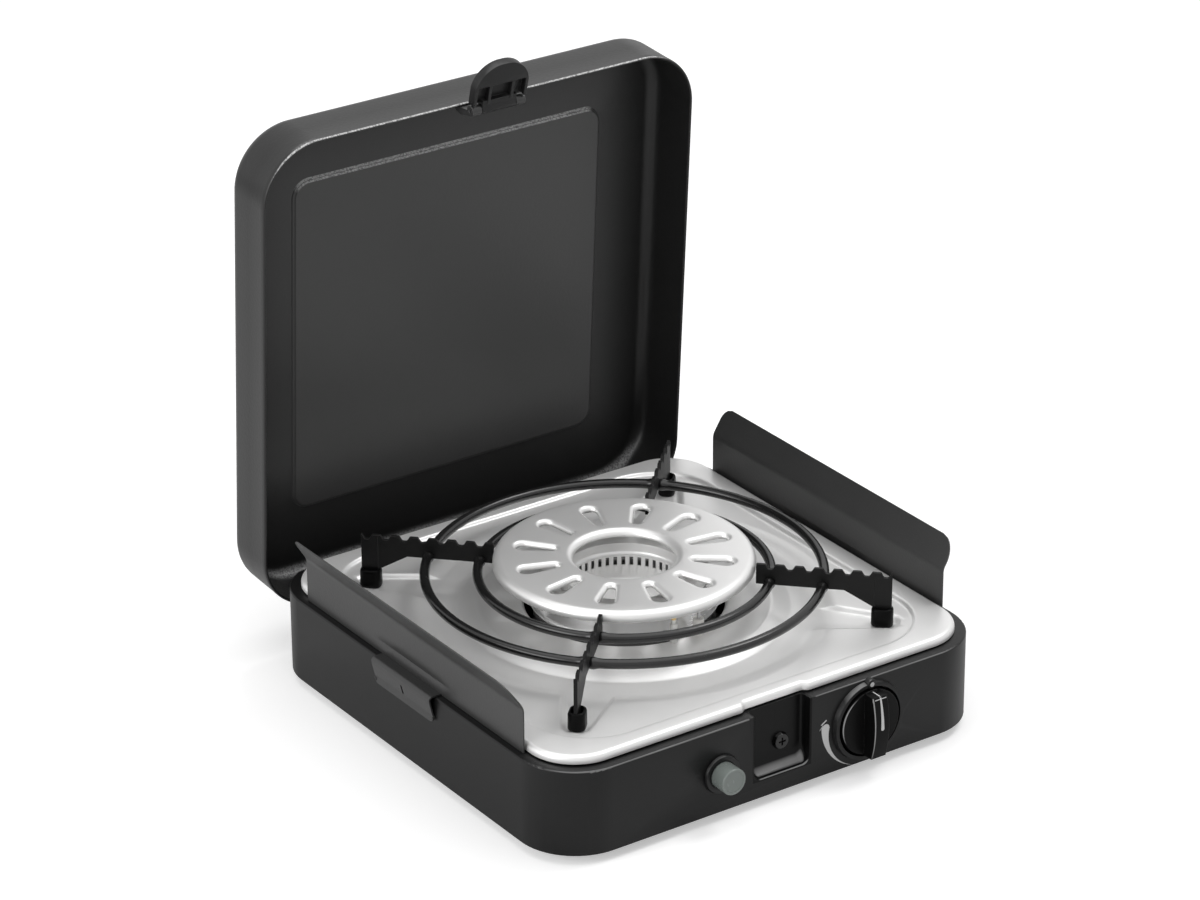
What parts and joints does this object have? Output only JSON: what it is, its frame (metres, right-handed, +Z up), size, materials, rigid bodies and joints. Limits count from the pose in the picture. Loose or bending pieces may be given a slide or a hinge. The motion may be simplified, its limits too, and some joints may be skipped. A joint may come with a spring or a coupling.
{
  "type": "camping cooker",
  "caption": "Portable single-burner gas cooker with a hinged lid, clip-on side windshields, a lift-off pan support and a turbo flame plate.",
  "frame": {"origin": "centre of the whole footprint, on the table under the feet", "axes": "+Z up, +X to the right seen from the knob side, the knob side faces -Y and the open lid stands at +Y"},
  "size_m": [0.3212, 0.373, 0.3692],
  "materials": {
    "casing_plastic": "matt black moulded plastic with a faint grain",
    "sheet_steel": "bright rolled steel",
    "hob_steel": "polished pressed stainless steel",
    "dark_steel": "black enamelled steel",
    "lid_paint": "satin black paint on sheet steel",
    "black_wire": "black heat-proof coating",
    "plate_steel": "heat-toned polished steel",
    "burner_chrome": "polished",
    "rubber": "soft black rubber",
    "screw_steel": "zinc plated",
    "cast_alloy": "as cast",
    "brass": "turned",
    "ceramic": "glazed ceramic",
    "latch_plastic": "matt black plastic",
    "knob_plastic": "fine-grained black plastic",
    "button_plastic": "grey translucent plastic",
    "igniter_plastic": "black plastic"
  },
  "bodies": {
    "casing": {"base_body": "casing_plastic", "floor_plate": "dark_steel", "floor_screws": "screw_steel", "foot_front_left": "rubber", "foot_front_right": "rubber", "foot_rear_left": "rubber", "foot_rear_right": "rubber", "hinge_pin_left": "screw_steel", "hinge_pin_right": "screw_steel", "catch_screw": "screw_steel", "hob_top": "hob_steel", "hob_nuts": "screw_steel", "hob_screws": "screw_steel", "burner_bowl": "burner_chrome", "port_cup": "plate_steel", "burner_strap": "sheet_steel", "burner_screws": "screw_steel", "mixing_tube": "cast_alloy", "valve_body": "cast_alloy", "valve_bracket": "sheet_steel", "bracket_screws": "screw_steel", "magnet_unit": "brass", "gas_jet": "brass", "gas_pipe": "cast_alloy", "gas_inlet": "brass", "thermocouple": "brass", "spark_insulator": "ceramic", "spark_electrode": "screw_steel", "probe_bracket": "sheet_steel", "igniter_body": "igniter_plastic", "igniter_nut": "igniter_plastic"},
    "lid": {"lid_shell": "lid_paint", "hinge_arm_left": "lid_paint", "hinge_arm_right": "lid_paint", "arm_rivets": "screw_steel", "latch_bracket": "lid_paint", "latch_pin": "screw_steel"},
    "latch": {"latch": "latch_plastic"},
    "windshield_left": {"windshield_left": "lid_paint"},
    "windshield_right": {"windshield_right": "lid_paint"},
    "pan_support": {"arm_front_left": "black_wire", "arm_front_right": "black_wire", "arm_rear_left": "black_wire", "arm_rear_right": "black_wire", "boot_front_left": "rubber", "boot_front_right": "rubber", "boot_rear_left": "rubber", "boot_rear_right": "rubber", "outer_ring": "black_wire", "inner_ring": "black_wire"},
    "turbo_plate": {"turbo_plate": "plate_steel"},
    "valve_plunger": {"valve_plunger": "brass"},
    "knob": {"knob": "knob_plastic", "valve_spindle": "brass"},
    "igniter_button": {"igniter_button": "button_plastic"}
  },
  "joints": [
    {"name": "lid_hinge", "type": "hinge", "parent": "casing", "child": "lid", "pos_m": [0, 0.12697, 0.042], "axis": [-1, 0, 0], "range_deg": [-86.4, 0]},
    {"name": "latch_flip", "type": "hinge", "parent": "lid", "child": "latch", "pos_m": [0, 0.11743, 0.33855], "axis": [-1, 0, 0], "range_deg": [-79, 0]},
    {"name": "windshield_left_lift", "type": "slide", "parent": "casing", "child": "windshield_left", "axis": [-0.8, 0, 0.6], "range_m": [0, 0.0605]},
    {"name": "windshield_right_lift", "type": "slide", "parent": "casing", "child": "windshield_right", "axis": [0.8, 0, 0.6], "range_m": [0, 0.0605]},
    {"name": "pan_support_lift", "type": "slide", "parent": "casing", "child": "pan_support", "axis": [0, 0, 1], "range_m": [0, 0.06]},
    {"name": "turbo_plate_lift", "type": "slide", "parent": "casing", "child": "turbo_plate", "axis": [0, 0, 1], "range_m": [0, 0.06]},
    {"name": "knob_push", "type": "slide", "parent": "casing", "child": "valve_plunger", "axis": [0, 1, 0], "range_m": [0, 0.003], "stiffness_N_per_m": 400, "springref_m": -0.003},
    {"name": "knob_turn", "type": "hinge", "parent": "valve_plunger", "child": "knob", "pos_m": [0.0622, -0.1712, 0.0333], "axis": [0, -1, 0], "range_deg": [0, 195]},
    {"name": "igniter_press", "type": "slide", "parent": "casing", "child": "igniter_button", "axis": [0, 1, 0], "range_m": [0, 0.006], "stiffness_N_per_m": 500, "springref_m": -0.004}
  ],
  "couplings": [
    {"joint": "windshield_left_lift", "follows": "lid_hinge", "m_per_rad": -0.04},
    {"joint": "windshield_right_lift", "follows": "lid_hinge", "m_per_rad": -0.04}
  ]
}
